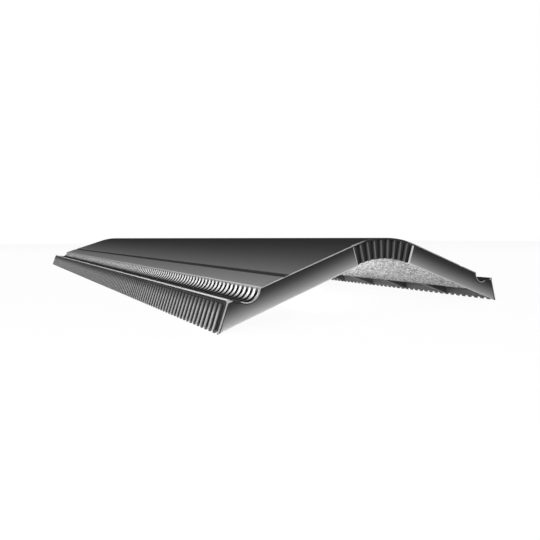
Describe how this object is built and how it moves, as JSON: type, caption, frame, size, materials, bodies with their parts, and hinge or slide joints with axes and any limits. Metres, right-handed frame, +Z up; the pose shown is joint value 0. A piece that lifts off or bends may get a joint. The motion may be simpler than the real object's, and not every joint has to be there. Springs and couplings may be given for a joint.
{
  "type": "ridge vent",
  "caption": "Shingle-over ridge vent: a pleated-end plastic deck bent over a roof ridge, with louvred troughs, ribbed wind baffles and a fibre filter below.",
  "frame": {"origin": "centre of the section's length and width, on the level floor under its two outer feet", "axes": "+Y along the ridge, +X across it, +Z up"},
  "size_m": [0.384, 1.2192, 0.0792],
  "materials": {
    "vent_plastic": "satin black moulded polypropylene",
    "filter_fibre": "grey-white non-woven polyester"
  },
  "bodies": {
    "root": {"vent_body": "vent_plastic", "filter_mat": "filter_fibre"}
  },
  "joints": []
}
